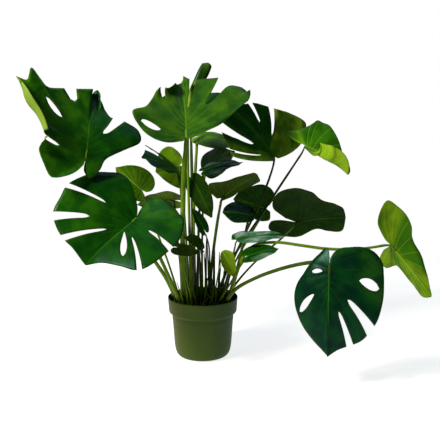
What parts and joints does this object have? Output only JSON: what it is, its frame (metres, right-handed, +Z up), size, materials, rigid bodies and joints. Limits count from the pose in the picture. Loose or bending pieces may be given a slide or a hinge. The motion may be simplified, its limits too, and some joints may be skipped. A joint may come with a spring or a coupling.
{
  "type": "potted monstera plant",
  "caption": "Leafy tropical houseplant: large split and holed leaves on long stalks, standing in a round nursery pot filled with soil.",
  "frame": {"origin": "middle of the pot's flat underside, on the surface that it stands on", "axes": "+Z up, +X to the right and +Y away as seen in the reference view, in which the newest leaf leans right"},
  "size_m": [1.3087, 0.6122, 1.0163],
  "materials": {
    "pot": "satin",
    "soil": "matte",
    "stem": "matte",
    "leaf_deep": "satin",
    "leaf_mid": "satin",
    "leaf_olive": "satin",
    "leaf_bright": "satin",
    "leaf_new": "satin"
  },
  "bodies": {
    "root": {"pot": "pot", "soil": "soil", "stem_centre": "stem", "stem_right": "stem", "leaf_front_right": "leaf_deep", "leaf_upper_left": "leaf_deep", "leaf_mid_left": "leaf_deep", "leaf_top_centre": "leaf_mid", "leaf_top_right_inner": "leaf_deep", "leaf_top_right_outer": "leaf_bright", "leaf_far_right": "leaf_bright", "leaf_right_dark": "leaf_deep", "leaf_right_back": "leaf_mid", "leaf_right_mid": "leaf_deep", "leaf_right_low": "leaf_deep", "leaf_right_low_dark": "leaf_deep", "leaf_small_bright": "leaf_bright", "leaf_small_olive": "leaf_olive", "leaf_small_dark": "leaf_deep", "leaf_small_point": "leaf_deep", "leaf_centre_right": "leaf_deep", "leaf_centre_right_back": "leaf_deep", "leaf_centre_right_bright": "leaf_bright", "leaf_centre_left": "leaf_deep", "leaf_centre_left_bright": "leaf_olive", "leaf_left_back_bright": "leaf_bright", "leaf_left_back_olive": "leaf_olive", "leaf_under_band": "leaf_olive", "leaf_centre_drop": "leaf_deep", "leaf_top_back": "leaf_mid", "leaf_new_roll": "leaf_new"}
  },
  "joints": []
}
